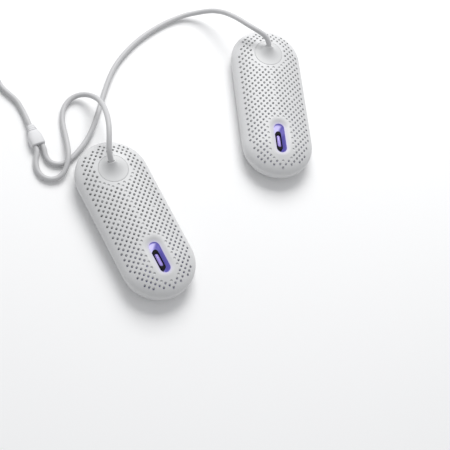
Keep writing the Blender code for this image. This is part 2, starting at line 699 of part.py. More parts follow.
def plug():
    """Flat two-pin mains plug with a tapered strain relief behind it."""
    base = bpy.data.objects.new("plug_frame", None)
    bpy.context.collection.objects.link(base)
    base.location = (*PLUG_TAIL, PLUG_HEIGHT)
    base.rotation_euler = (0, 0, PLUG_TURN)

    bm = bmesh.new()
    rings = [[(x, p.x, p.y) for p in circle((0, 0, 0), radius, 12)]
             for x, radius in ((0, 0.0029), (0.004, 0.0033), (RELIEF_LENGTH - GAP, 0.0048))]
    skin(bm, rings)
    finish_mesh(bm, "plug_relief", "plug_plastic", base)

    back, front = RELIEF_LENGTH, RELIEF_LENGTH + PLUG_LENGTH
    bm = bmesh.new()
    rings = []
    for x, half_wide, half_high in ((back, 0.0065, 0.0055), (back + 0.004, 0.0095, 0.0078),
                                    (front - 0.010, 0.0125, 0.0088), (front - 0.001, 0.0125, 0.0088),
                                    (front, 0.0115, 0.0078)):
        outline = rounded_outline(half_wide, half_high, 0.5, 20)
        rings.append([(x, wide, high) for wide, high in outline])
    skin(bm, rings)
    finish_mesh(bm, "plug_body", "plug_plastic", base)

    start = front + GAP
    for number, y in enumerate((-PIN_SPACING / 2, PIN_SPACING / 2), 1):
        low = (start, y - PIN_THICK / 2, -PIN_WIDTH / 2)
        high = (start + PIN_LENGTH, y + PIN_THICK / 2, PIN_WIDTH / 2)
        bm = bmesh.new()
        add_box(bm, low, high)
        finish_mesh(bm, f"plug_pin_{number}", "brass_pins", base)


def build_pod(side):
    pod = bpy.data.objects.new(f"pod_frame_{side}", None)
    bpy.context.collection.objects.link(pod)
    pod.matrix_world = pod_place(side)
    front_shell(side, pod)
    rear_shell(side, pod)
    cable_nozzle(side, pod)
    case_screws(side, pod)
    lamp_parts(side, pod)
    heater_parts(side, pod)
    board_parts(side, pod)
    cord_clamp(side, pod)
    wiring(side, pod)


def main():
    clear_scene()
    for side in POD_TURNS:
        build_pod(side)
    splitter()
    cords()
    coil()
    plug()


main()
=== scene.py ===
"""Looks of the boot dryer: two perforated drying pods on a forked mains cord.

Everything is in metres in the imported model's frame, +Z up. A pod's own frame has x
across, y along the pod towards its cable and z out of its perforated face.
"""

import json
import math

import bmesh
import bpy
import numpy as np
from mathutils import Matrix, Vector
from mathutils.geometry import delaunay_2d_cdt


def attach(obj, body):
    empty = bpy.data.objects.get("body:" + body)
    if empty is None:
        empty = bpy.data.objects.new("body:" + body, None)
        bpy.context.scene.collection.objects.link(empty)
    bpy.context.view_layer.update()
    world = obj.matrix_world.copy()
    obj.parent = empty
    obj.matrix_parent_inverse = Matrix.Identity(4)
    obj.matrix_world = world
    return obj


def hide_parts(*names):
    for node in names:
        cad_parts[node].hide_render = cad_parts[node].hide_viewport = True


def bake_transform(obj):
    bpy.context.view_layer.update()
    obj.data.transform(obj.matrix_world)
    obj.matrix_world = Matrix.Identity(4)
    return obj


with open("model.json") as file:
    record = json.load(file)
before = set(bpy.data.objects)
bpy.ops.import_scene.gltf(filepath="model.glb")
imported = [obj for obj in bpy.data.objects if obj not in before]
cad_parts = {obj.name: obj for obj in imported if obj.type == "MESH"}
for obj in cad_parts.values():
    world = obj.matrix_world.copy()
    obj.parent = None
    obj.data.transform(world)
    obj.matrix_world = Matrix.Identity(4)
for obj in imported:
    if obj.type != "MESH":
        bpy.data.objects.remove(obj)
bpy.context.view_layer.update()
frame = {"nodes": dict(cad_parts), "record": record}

# The pod. Sizes that the CAD has too are the CAD's, but for the vents, collar and bore.
HALF_WIDTH = 0.033
END_CENTRE = 0.044          # centre of each round end, along y
THICKNESS = 0.026
EQUATOR = 0.013             # height of the widest outline
BACK_EDGE = 0.010
WALL = 0.002
PARTING = 0.0055            # seam between the two shells
LIP_THICK = 0.0008
LIP_HEIGHT = 0.0018
GAP = 0.0003
SEAT_GAP = 0.00009          # groove round the nozzle, finer than in the CAD
POD_TURNS = {"left": math.radians(55), "right": math.radians(33)}

# The vents. The CAD has a coarser field of them.
VENT_PITCH = 0.0055
VENT_RADIUS = 0.00103
VENT_CHAMFER = 0.00022
VENT_NECK = 1.5 * VENT_CHAMFER      # depth at which a vent has its own radius
VENT_THROAT = 0.00063       # an open vent narrows to this radius behind the face
VENT_SIDES = 14
BLIND_DEPTH = 0.0009
VENT_FIELD = 5.05           # this and the next four are in vent pitches
NOZZLE_CLEAR = 2.8
NOZZLE_BLIND = 3.35
SLOT_CLEAR = 1.9
SLOT_BLIND = 2.35
PATCH_REACH = 0.0297        # the vented part of the face, from the middle line

NOZZLE_Y = 0.046
NOZZLE_RADIUS = 0.0132
COLLAR_Y = 0.051
COLLAR_Z = 0.0285
COLLAR_RADIUS = 0.0040      # wider than in the CAD, to show the lip
BORE_RADIUS = 0.0029
BORE_DEPTH = 0.003
EXIT_LEAN = math.radians(45)

SLOT_Y = -0.0435
SLOT_HALF = 0.0099          # half the straight part of the slot
SLOT_EDGE = 0.00475
RECESS_REACH = 0.0099       # soft recess round the slot, left out of the CAD
RECESS_STEPS = (0.0006, 0.0012, 0.0019, 0.0026, 0.0033, 0.004)
RIM_HEIGHT = 0.0244

POST_X = 0.0165
POST_ROWS = (0.0, -0.044)
INNER_POST_RADIUS = 0.0026
POST_BORE = 0.0013
POST_BORE_TOP = 0.0145
POST_FOOT = 0.008
POST_SIDES = 20
BOSS_RADIUS = 0.004
BOSS_SIDES = 28
SCREW_SINK = 0.003
SCREW_SEAT = 0.0032
SCREW_BORE = 0.0015
EDGE_ROUND = 0.0002         # left out of the CAD
POD_ARC_STEPS = 44
POD_SIDE_STEPS = 36
DOME_STEPS = 8              # rings from the vented part of the face to the widest outline
WALL_STEPS = 7              # rings from there to the seam
# Heights of the rings down the rounded back edge.
BACK_RINGS = (0.0044, 0.0036, 0.0028, 0.0021, 0.0015, 0.001, 0.0006, 0.0003, 0.0001)
PANEL_HALF = (0.0105, 0.0155)
PANEL_CORNER = 0.002
PANEL_SLOPE = 0.0002
PANEL_DEPTH = 0.0003
SEAT_SIDES = 72
FLARE_STEPS = 22
FLARE_POWER = 2.9
NOZZLE_FLANGE = 0.0155
FLANGE_Z = 0.0198
FLANGE_THICK = 0.0015
HOLDER_TOP = 0.0203
LAMP_Z = 0.0175

# Cords.
CORD_RADIUS = 0.00235
CORD_STEP = 0.0016
CORD_SIDES = 18
SPLINE_PARTS = 24           # straight parts for each span of a route's spline
SOCKET_CLEAR = 0.0001       # room round a cord in its socket
CUT_PAST = 0.001            # a socket's cutter starts this far outside
STUB = (0.0008, 0.004)      # a cord is in line with its socket this far outside
SPLITTER_MOUTH = (-0.1262, -0.0724)
SPLITTER_TURN = math.atan2(0.61, -0.79)
SPLITTER_LENGTH = 0.020
SPLITTER_HEIGHT = 0.0085
BRANCH_SPACING = 0.0066
CORD_IN_SPLITTER = 0.004
POCKET = 0.002              # how far a cord runs into the piece that it ends in

COIL_CENTRE = (-0.2290, -0.0530)
COIL_RADII = (0.0319, 0.0270, 0.0221)
COIL_HEIGHTS = (0.00365, 0.00855)
COIL_START = math.radians(78)
COIL_SWEEP = math.radians(5 * 360 + 62)
COIL_STEP = math.radians(12)
COIL_BULGE = 0.0016         # how far in the cord swings as it climbs to the upper turns
SHIFT_ANGLE = math.radians(170)     # a turn moves to its next lane over this angle
TIE_ANGLE = math.radians(285)

PLUG_TAIL = (-0.2535, -0.0935)
PLUG_TURN = math.radians(-66)
PLUG_HEIGHT = 0.009
RELIEF_LENGTH = 0.026
PLUG_LENGTH = 0.030
PIN_LENGTH = 0.017
PIN_SPACING = 0.0127
PIN_HOLE = 0.0125           # from the plug's face
PIN_HOLE_RADIUS = 0.0015

# How far each branch runs straight out of its collar.
STRAIGHT_RUNS = {"left": (0.0035, 0.008), "right": (0.0018,)}

# Cord routes in millimetres. Each starts past the straight exit.
LEFT_ROUTE = [
    (-70.3, -54.8, 38.0), (-74, -48.5, 40), (-78.5, -41, 40.2), (-84, -32.5, 37.2),
    (-90, -24, 31.5), (-96.5, -16, 24.5), (-103.3, -10, 17.6), (-110.5, -6.7, 11.8),
    (-118, -7, 7.3), (-124, -11.5, 4.5), (-127, -19, 3), (-126.6, -27.5, 2.6),
    (-123, -36, 2.6), (-117.5, -43.8, 3.2), (-111, -51.5, 4.6), (-105, -59.2, 6.4),
    (-99.9, -66.6, 7.8), (-96.2, -74.5, 7.2), (-94.5, -82.5, 5.2), (-96.2, -90, 3.6),
    (-102.2, -95.2, 2.8), (-110.2, -95.6, 2.6), (-117.2, -91, 2.8), (-122, -83.5, 3.4),
]
RIGHT_ROUTE = [
    (1.1, 126.8, 31.9), (-2, 128, 33.9), (-5.7, 128.4, 35.2), (-13.2, 128.5, 36.1),
    (-20.7, 129, 35.7), (-28, 130.5, 34.2), (-34.9, 132.4, 31.9), (-41.4, 134.4, 28.7),
    (-47.7, 136.2, 24.9), (-53.9, 137.3, 20.6), (-60, 137.4, 16.2), (-66.1, 135.9, 11.9),
    (-72, 133, 8.2), (-80, 127, 4.8), (-87.3, 118, 3),
    (-93.8, 106.7, 2.6), (-100, 92.5, 2.6), (-105.6, 75, 2.6), (-109, 56, 2.6),
    (-109.7, 37, 2.6), (-107, 19, 2.6), (-103, 2, 2.6), (-98.8, -14, 2.6),
    (-95.5, -29, 2.6), (-94, -42, 2.6), (-94.2, -53, 2.6), (-95.4, -62.5, 2.6),
    (-97.3, -70.8, 2.6), (-101.6, -77.3, 2.6), (-108.6, -80.2, 2.6), (-116, -77.4, 3),
]
MAIN_ROUTE = [
    (-151.4, -52.6, 2.9), (-157.6, -48.2, 2.6), (-165, -44, 2.6), (-174, -41.5, 2.6),
    (-183, -39.2, 2.6), (-190, -35.2, 3), (-203.5, -25.6, 3.6),
]
TAIL_ROUTE = [
    (-260.6, -45, 8.4), (-263.9, -58.5, 7.6), (-262.7, -72, 7), (-258.8, -82.5, 7.8),
]

# Camera.
CAMERA_PLACE = (0.0505, -0.5242, 0.9059)
CAMERA_DROP = math.radians(62.28)
CAMERA_ROLL = math.radians(29.42)
CAMERA_LENS = 92

# Light and floor.
KEY_PLACE = (-0.434, 0.868, 1.077)
KEY_SIDE = 0.9
KEY_POWER = 18.4
SKY_COLOUR = (0.97, 0.98, 1, 1)
SKY_STRENGTH = 0.5
FLOOR_REACH = 3.0
FLOOR_Z = -0.0003
FLOOR_COLOUR = (0.95, 0.95, 0.95)

# The slot's painted lamp light, in a pod's own frame: a painted violet spill on the casing and a painted glow
# in the reflector.
PAINTED_SPILL_COLOUR = (0.60, 0.57, 0.74, 1)
PAINTED_SPILL_DISTANCES = (SLOT_EDGE - 0.0004, SLOT_EDGE + 0.0028)
PAINTED_SPILL_HEIGHTS = (0.018, 0.022)
GLOW_MIDDLE = (0.62, 0.58, 0.90, 1)
GLOW_SIDE = (0.085, 0.075, 0.33, 1)
GLOW_HALF_WIDTHS = (0.0018, 0.0040)
GLOW_HEIGHTS = (0.0190, 0.0236)

SHARP_ANGLE = 35            # degrees
GLOSS_SPREAD = 0.05
GRAIN_DEPTH = 0.00005
MIX_A, MIX_B, MIX_RESULT = 6, 7, 2      # colour sockets of a Mix node


def make_camera():
    ahead = Vector((0, math.cos(CAMERA_DROP), -math.sin(CAMERA_DROP)))
    level = Vector((1, 0, 0))
    upright = level.cross(ahead)
    right = level * math.cos(CAMERA_ROLL) + upright * math.sin(CAMERA_ROLL)
    up = upright * math.cos(CAMERA_ROLL) - level * math.sin(CAMERA_ROLL)
    data = bpy.data.cameras.new("camera")
    data.lens = CAMERA_LENS
    camera = bpy.data.objects.new("camera", data)
    bpy.context.scene.collection.objects.link(camera)
    turn = Matrix((right, up, -ahead)).transposed().to_4x4()
    camera.matrix_world = Matrix.Translation(CAMERA_PLACE) @ turn
    bpy.context.scene.camera = camera


# Small helpers.

def metres(point):
    return Vector(point) / 1000


def ease(t):
    t = min(1.0, max(0.0, t))
    return t * t * (3 - 2 * t)


def pod_place(side):
    """A pod's own frame in the world: its back mount says where it lies."""
    mounts = {mount["name"]: mount for mount in frame["record"]["mounts"]}
    centre = Vector(mounts[f"{side}_back"]["pos_m"])
    return Matrix.Translation(centre) @ Matrix.Rotation(POD_TURNS[side], 4, "Z")


def smooth_route(points, step):
    """Even steps along the natural cubic spline through the points."""
    data = np.array([tuple(point) for point in points])
    spans = np.linalg.norm(np.diff(data, axis=0), axis=1)
    count = len(data)
    system, right = np.eye(count), np.zeros((count, 3))
    for i in range(1, count - 1):
        before, after = spans[i - 1], spans[i]
        system[i, i - 1:i + 2] = before, 2 * (before + after), after
        right[i] = 6 * ((data[i + 1] - data[i]) / after - (data[i] - data[i - 1]) / before)
    bend = np.linalg.solve(system, right)
    dense = []
    for i, span in enumerate(spans):
        for part in np.linspace(0, 1, SPLINE_PARTS, endpoint=False):
            a, b = 1 - part, part
            pull = (a ** 3 - a) * bend[i] + (b ** 3 - b) * bend[i + 1]
            dense.append(a * data[i] + b * data[i + 1] + pull * span ** 2 / 6)
    dense = np.array([*dense, data[-1]])
    travel = np.concatenate(([0], np.cumsum(np.linalg.norm(np.diff(dense, axis=0), axis=1))))
    stops = np.linspace(0, travel[-1], max(2, round(travel[-1] / step) + 1))
    return [Vector([np.interp(stop, travel, dense[:, k]) for k in range(3)]) for stop in stops]


def bridge(bm, ring_a, ring_b):
    count = len(ring_a)
    return [bm.faces.new((ring_a[i], ring_a[(i + 1) % count], ring_b[(i + 1) % count], ring_b[i]))
            for i in range(count)]


def add_ring(bm, points):
    return [bm.verts.new(point) for point in points]


def skin(bm, rings, capped=True):
    """Join rings of points into a solid, capped at both ends or closed on itself."""
    made = [add_ring(bm, ring) for ring in rings]
    for ring_a, ring_b in zip(made, made[1:]):
        bridge(bm, ring_a, ring_b)
    if capped:
        bm.faces.new(made[0])
        bm.faces.new(made[-1])
    else:
        bridge(bm, made[-1], made[0])


def finish_mesh(bm, name, sharp=SHARP_ANGLE):
    bmesh.ops.recalc_face_normals(bm, faces=bm.faces)
    mesh = bpy.data.meshes.new(name)
    bm.to_mesh(mesh)
    bm.free()
    mesh.shade_smooth()
    mesh.set_sharp_from_angle(angle=math.radians(sharp))
    return mesh


def add_object(name, mesh, material, place=None):
    obj = bpy.data.objects.new(name, mesh)
    bpy.context.scene.collection.objects.link(obj)
    if not mesh.materials:
        mesh.materials.append(material)
    if place is not None:
        obj.matrix_world = place
    return obj


def cut(obj, cutter):
    """Take the cutter's shape out of a piece for good, and remove the cutter."""
    step = obj.modifiers.new("cut", "BOOLEAN")
    step.operation = "DIFFERENCE"
    step.solver = "EXACT"
    step.object = cutter
    shown = obj.evaluated_get(bpy.context.evaluated_depsgraph_get())
    mesh = bpy.data.meshes.new_from_object(shown)
    obj.modifiers.remove(step)
    obj.data = mesh
    bpy.data.objects.remove(cutter)
    mesh.set_sharp_from_angle(angle=math.radians(SHARP_ANGLE))


# Materials.

def new_material(name, colour, roughness, metallic=0.0, grain=0.0, grain_scale=9000.0,
                 drift=0.02, drift_scale=45.0, **sockets):
    """Principled material with a fine grain, slow drift of tone and uneven gloss."""
    made = bpy.data.materials.new(name)
    made.use_nodes = True
    nodes, links = made.node_tree.nodes, made.node_tree.links
    shader = nodes["Principled BSDF"]
    shader.inputs["Metallic"].default_value = metallic
    for socket, value in sockets.items():
        shader.inputs[socket.replace("_", " ")].default_value = value
    where = nodes.new("ShaderNodeTexCoord").outputs["Object"]

    slow = nodes.new("ShaderNodeTexNoise")
    slow.inputs["Scale"].default_value = drift_scale
    slow.inputs["Detail"].default_value = 3
    links.new(where, slow.inputs["Vector"])
    tone = nodes.new("ShaderNodeMix")
    tone.data_type = "RGBA"
    tone.inputs[MIX_A].default_value = (*[c * (1 - drift) for c in colour], 1)
    tone.inputs[MIX_B].default_value = (*[min(1.0, c * (1 + drift)) for c in colour], 1)
    links.new(slow.outputs["Fac"], tone.inputs[0])
    links.new(tone.outputs[MIX_RESULT], shader.inputs["Base Color"])

    fine = nodes.new("ShaderNodeTexNoise")
    fine.inputs["Scale"].default_value = grain_scale
    fine.inputs["Detail"].default_value = 2
    links.new(where, fine.inputs["Vector"])
    gloss = nodes.new("ShaderNodeMapRange")
    gloss.inputs["To Min"].default_value = roughness - GLOSS_SPREAD
    gloss.inputs["To Max"].default_value = roughness + GLOSS_SPREAD
    links.new(fine.outputs["Fac"], gloss.inputs["Value"])
    links.new(gloss.outputs["Result"], shader.inputs["Roughness"])
    if grain:
        bump = nodes.new("ShaderNodeBump")
        bump.inputs["Strength"].default_value = grain
        bump.inputs["Distance"].default_value = GRAIN_DEPTH
        links.new(fine.outputs["Fac"], bump.inputs["Height"])
        links.new(bump.outputs["Normal"], shader.inputs["Normal"])
    return made


def ramp(tree, value, low, high):
    """Smooth 0 to 1 as a node value goes from low to high."""
    step = tree.nodes.new("ShaderNodeMapRange")
    step.interpolation_type = "SMOOTHSTEP"
    step.inputs["From Min"].default_value = low
    step.inputs["From Max"].default_value = high
    tree.links.new(value, step.inputs["Value"])
    return step.outputs["Result"]


def math_node(tree, operation, *values):
    node = tree.nodes.new("ShaderNodeMath")
    node.operation = operation
    for socket, value in zip(node.inputs, values):
        if isinstance(value, (int, float)):
            socket.default_value = value
        else:
            tree.links.new(value, socket)
    return node.outputs[0]


def object_axes(tree):
    coordinates = tree.nodes.new("ShaderNodeTexCoord")
    split = tree.nodes.new("ShaderNodeSeparateXYZ")
    tree.links.new(coordinates.outputs["Object"], split.inputs[0])
    return split.outputs


def paint_lamp_spill(material):
    """Painted light: a spill of the lamp's violet light is painted on the white plastic along the slot's
    edge.
    """
    tree = material.node_tree
    x, y, z = object_axes(tree)
    along = math_node(tree, "ABSOLUTE", math_node(tree, "SUBTRACT", y, SLOT_Y))
    beyond = math_node(tree, "MAXIMUM", math_node(tree, "SUBTRACT", along, SLOT_HALF), 0.0)
    squares = [math_node(tree, "POWER", math_node(tree, "ABSOLUTE", value), 2.0) for value in (x, beyond)]
    distance = math_node(tree, "SQRT", math_node(tree, "ADD", *squares))
    far = ramp(tree, distance, *PAINTED_SPILL_DISTANCES)
    front = ramp(tree, z, *PAINTED_SPILL_HEIGHTS)
    share = math_node(tree, "MULTIPLY", math_node(tree, "SUBTRACT", 1.0, far), front)
    shader = tree.nodes["Principled BSDF"]
    plain = shader.inputs["Base Color"].links[0].from_socket
    painted_spill = tree.nodes.new("ShaderNodeMix")
    painted_spill.data_type = "RGBA"
    tree.links.new(share, painted_spill.inputs[0])
    tree.links.new(plain, painted_spill.inputs[MIX_A])
    painted_spill.inputs[MIX_B].default_value = PAINTED_SPILL_COLOUR
    tree.links.new(painted_spill.outputs[MIX_RESULT], shader.inputs["Base Color"])


def paint_reflector_glow(material):
    """Painted glow on the reflector, standing in for the lamp's light on it: bright along its middle and deep
    down, violet at its sides and rim.
    """
    tree = material.node_tree
    x, _, z = object_axes(tree)
    aside = ramp(tree, math_node(tree, "ABSOLUTE", x), *GLOW_HALF_WIDTHS)
    rim = ramp(tree, z, *GLOW_HEIGHTS)
    dim = math_node(tree, "MAXIMUM", aside, rim)
    glow = tree.nodes.new("ShaderNodeMix")
    glow.data_type = "RGBA"
    glow.inputs[MIX_A].default_value = GLOW_MIDDLE
    glow.inputs[MIX_B].default_value = GLOW_SIDE
    tree.links.new(dim, glow.inputs[0])
    shader = tree.nodes["Principled BSDF"]
    tree.links.new(glow.outputs[MIX_RESULT], shader.inputs["Emission Color"])
    shader.inputs["Emission Strength"].default_value = 1.0


# Cords.

def tube_mesh(name, path, radius, sides):
    """Round closed tube along the points, its rings turned no more than the path needs."""
    bm = bmesh.new()
    ahead = [(path[min(i + 1, len(path) - 1)] - path[max(i - 1, 0)]).normalized()
             for i in range(len(path))]
    side = ahead[0].orthogonal().normalized()
    rings = []
    for i, point in enumerate(path):
        if i:
            side = ahead[i - 1].rotation_difference(ahead[i]) @ side
        side = (side - ahead[i] * side.dot(ahead[i])).normalized()
        other = ahead[i].cross(side)
        turns = [2 * math.pi * k / sides for k in range(sides)]
        rings.append([point + (side * math.cos(t) + other * math.sin(t)) * radius for t in turns])
    skin(bm, rings)
    return finish_mesh(bm, name)


def exit_axis():
    return Vector((0, math.sin(EXIT_LEAN), math.cos(EXIT_LEAN)))


def exit_points(side):
    """Start of a branch: inside the bore, then straight out of the collar."""
    place = pod_place(side)
    tip = Vector((0, COLLAR_Y, COLLAR_Z))
    runs = (GAP - BORE_DEPTH, 0.0, *STRAIGHT_RUNS[side])
    return [place @ (tip + exit_axis() * run) for run in runs]


def splitter_point(along, across, z=CORD_IN_SPLITTER):
    x, y = SPLITTER_MOUTH
    ahead = Vector((math.cos(SPLITTER_TURN), math.sin(SPLITTER_TURN), 0))
    aside = Vector((-ahead.y, ahead.x, 0))
    return Vector((x, y, z)) + ahead * along + aside * across


def branch_path(side, route, across):
    ends = [splitter_point(back, across * BRANCH_SPACING) for back in (-STUB[1], -STUB[0], POCKET)]
    return smooth_route(exit_points(side) + [metres(p) for p in route] + ends, CORD_STEP)


def coil_points():
    """Turns from the outer lane inwards, up at the inner lane, and outwards on top."""
    lanes = [(radius, COIL_HEIGHTS[0]) for radius in COIL_RADII]
    lanes += [(radius, COIL_HEIGHTS[1]) for radius in COIL_RADII[::-1]]
    steps = round(COIL_SWEEP / COIL_STEP)
    points = []
    for i in range(steps + 1):
        travelled = COIL_SWEEP * i / steps
        lane = int(travelled // (2 * math.pi))
        share = ease((travelled % (2 * math.pi) - 2 * math.pi + SHIFT_ANGLE) / SHIFT_ANGLE)
        (radius, z), (next_radius, next_z) = lanes[lane], lanes[min(lane + 1, len(lanes) - 1)]
        bulge = COIL_BULGE * math.sin(math.pi * share) if z != next_z else 0.0
        radius += share * (next_radius - radius) - bulge
        angle = COIL_START + travelled
        points.append(Vector((COIL_CENTRE[0] + radius * math.cos(angle),
                              COIL_CENTRE[1] + radius * math.sin(angle),
                              z + share * (next_z - z))))
    return points


def main_path():
    starts = [splitter_point(SPLITTER_LENGTH + run, 0) for run in (-POCKET, *STUB)]
    ahead = Vector((math.cos(PLUG_TURN), math.sin(PLUG_TURN), 0))
    ends = [Vector((*PLUG_TAIL, PLUG_HEIGHT)) - ahead * run for run in (STUB[1], -POCKET)]
    route = starts + [metres(p) for p in MAIN_ROUTE] + coil_points()
    return smooth_route(route + [metres(p) for p in TAIL_ROUTE] + ends, CORD_STEP)


def add_cords(jacket):
    """The two branches run in curves between the splitter and their pods; the mains lead lies still."""
    for side, route, across in (("left", LEFT_ROUTE, 0.5), ("right", RIGHT_ROUTE, -0.5)):
        path = branch_path(side, route, across)
        cord = add_object(f"branch_cord_{side}", tube_mesh("cord", path, CORD_RADIUS, CORD_SIDES), jacket)
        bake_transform(cord)
        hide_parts(f"cord_{side}")
    path = main_path()
    cord = add_object("mains_lead", tube_mesh("mains_lead", path, CORD_RADIUS, CORD_SIDES), jacket)
    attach(cord, "root")
    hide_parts("main_cord", "cord_coil", "plug_lead")


# The pod's section.

def face_height(distance, inset=0.0):
    """Height of the front face, or of its inner side, at a distance from the middle line."""
    reach = HALF_WIDTH - inset
    depth = THICKNESS - EQUATOR - inset
    return EQUATOR + depth * math.sqrt(max(0.0, 1 - (distance / reach) ** 2))


def back_reach(z, inset=0.0):
    """Half width of the pod at a height below the widest outline."""
    drop = (EQUATOR - z) / (EQUATOR - inset)
    return HALF_WIDTH - BACK_EDGE + (BACK_EDGE - inset) * math.sqrt(max(0.0, 1 - drop ** 2))


def middle_distance(x, y):
    return math.hypot(x, max(abs(y) - END_CENTRE, 0.0))


def slot_distance(x, y):
    return math.hypot(x, max(abs(y - SLOT_Y) - SLOT_HALF, 0.0))


def outer_height(x, y):
    """The front face, with the soft recess around the lamp slot."""
    dome = face_height(middle_distance(x, y))
    sink = ease((RECESS_REACH - slot_distance(x, y)) / (RECESS_REACH - SLOT_EDGE))
    return dome + sink * (RIM_HEIGHT - dome)


def inner_height(x, y):
    return face_height(middle_distance(x, y), WALL)


def outer_normal(point):
    """Exact direction out of the casing, front and back, at a point on its outside."""
    x, y, z = point
    if z > EQUATOR and slot_distance(x, y) < RECESS_REACH:
        step = 2e-5
        slope_x = (outer_height(x + step, y) - outer_height(x - step, y)) / (2 * step)
        slope_y = (outer_height(x, y + step) - outer_height(x, y - step)) / (2 * step)
        return Vector((-slope_x, -slope_y, 1)).normalized()
    beyond = math.copysign(max(abs(y) - END_CENTRE, 0.0), y)
    distance = math.hypot(x, beyond)
    away = Vector((x, beyond, 0)) / max(distance, 1e-9)
    if z >= EQUATOR:
        outward, upward = distance / HALF_WIDTH ** 2, (z - EQUATOR) / (THICKNESS - EQUATOR) ** 2
    else:
        outward = (distance - HALF_WIDTH + BACK_EDGE) / BACK_EDGE ** 2
        upward = (z - EQUATOR) / EQUATOR ** 2
    return (away * outward + Vector((0, 0, upward))).normalized()


def set_outer_normals(mesh, count):
    """The mesh's first faces take the exact normals of the casing; zero keeps the usual ones."""
    normals = [Vector()] * len(mesh.loops)
    for polygon in mesh.polygons[:count]:
        for i in polygon.loop_indices:
            normals[i] = outer_normal(mesh.vertices[mesh.loops[i].vertex_index].co)
    mesh.normals_split_custom_set(normals)


# Outlines and patches.

def disc(x, y, radius, sides):
    turns = [2 * math.pi * i / sides for i in range(sides)]
    return [(x + radius * math.cos(t), y + radius * math.sin(t)) for t in turns]


def stadium(radius, half, centre_y, arc_steps, side_steps):
    """Closed outline at one distance from a segment along y, anticlockwise from +x."""
    ring = []
    for end, first in ((half, 0.0), (-half, math.pi)):
        for i in range(arc_steps):
            angle = first + math.pi * i / arc_steps
            ring.append((radius * math.cos(angle), centre_y + end + radius * math.sin(angle)))
        for i in range(side_steps):
            ring.append((radius * math.cos(first + math.pi), centre_y + end * (1 - 2 * i / side_steps)))
    return ring


def pod_outline(radius):
    return stadium(radius, END_CENTRE, 0.0, POD_ARC_STEPS, POD_SIDE_STEPS)


def slot_outline(radius):
    return stadium(radius, SLOT_HALF, SLOT_Y, arc_steps=14, side_steps=8)


def raised(outline, height):
    """Outline as 3-D points, at one height or at a height that depends on the place."""
    return [(x, y, height(x, y) if callable(height) else height) for x, y in outline]


def fill(bm, outline, holes, guides, height):
    """Triangles from the outline to its holes, with edges along the guides too.
    Returns the ring of vertices along the outline, and one for each hole."""
    points, edges, owner = [], [], []
    for number, loop in enumerate([outline, *holes, *guides]):
        start, count = len(points), len(loop)
        points += loop
        owner += [number] * count
        edges += [(start + i, start + (i + 1) % count) for i in range(count)]
    flat = [Vector(point) * 1000 for point in points]
    _, _, faces, origins = delaunay_2d_cdt(flat, edges, [], 0, 1e-7, True)[:4]
    source = [group[0] for group in origins]
    verts = add_ring(bm, raised(points, height))
    for face in faces:
        corners = [source[i] for i in face]
        owners = {owner[i] for i in corners}
        in_hole = len(owners) == 1 and 1 <= owner[corners[0]] <= len(holes)
        if not in_hole:
            bm.faces.new([verts[i] for i in corners])
    rings = [[v for v, number in zip(verts, owner) if number == k] for k in range(len(holes) + 1)]
    return rings[0], rings[1:]


def chain(bm, rings):
    """Bridge rings of points or of vertices in order, and return them as vertices."""
    made = [ring if isinstance(ring[0], bmesh.types.BMVert) else add_ring(bm, ring) for ring in rings]
    for ring_a, ring_b in zip(made, made[1:]):
        bridge(bm, ring_a, ring_b)
    return made


# The shells.

def vents():
    """(x, y, open) of each vent: a square grid with one more vent in the middle of each cell."""
    found = []
    for half in (0.0, 0.5):
        for column in range(-6, 7):
            for row in range(-14, 15):
                across, along = column + half, row + half
                x, y = across * VENT_PITCH, along * VENT_PITCH
                nozzle = math.hypot(x, y - NOZZLE_Y) / VENT_PITCH
                slot = slot_distance(x, y) / VENT_PITCH
                inside = middle_distance(x, y) <= VENT_FIELD * VENT_PITCH
                if not inside or nozzle < NOZZLE_CLEAR or slot < SLOT_CLEAR:
                    continue
                on_rib = across == 0 and SLOT_Y < y < NOZZLE_Y
                on_post = min(math.dist((x, y), post) for post in posts()) < VENT_PITCH / 4
                below_nozzle = nozzle < NOZZLE_BLIND and y < NOZZLE_Y - VENT_PITCH / 2
                blind = on_rib or on_post or below_nozzle or slot < SLOT_BLIND
                found.append((x, y, not blind))
    return found


def posts():
    return [(side * POST_X, row) for row in POST_ROWS for side in (-1, 1)]


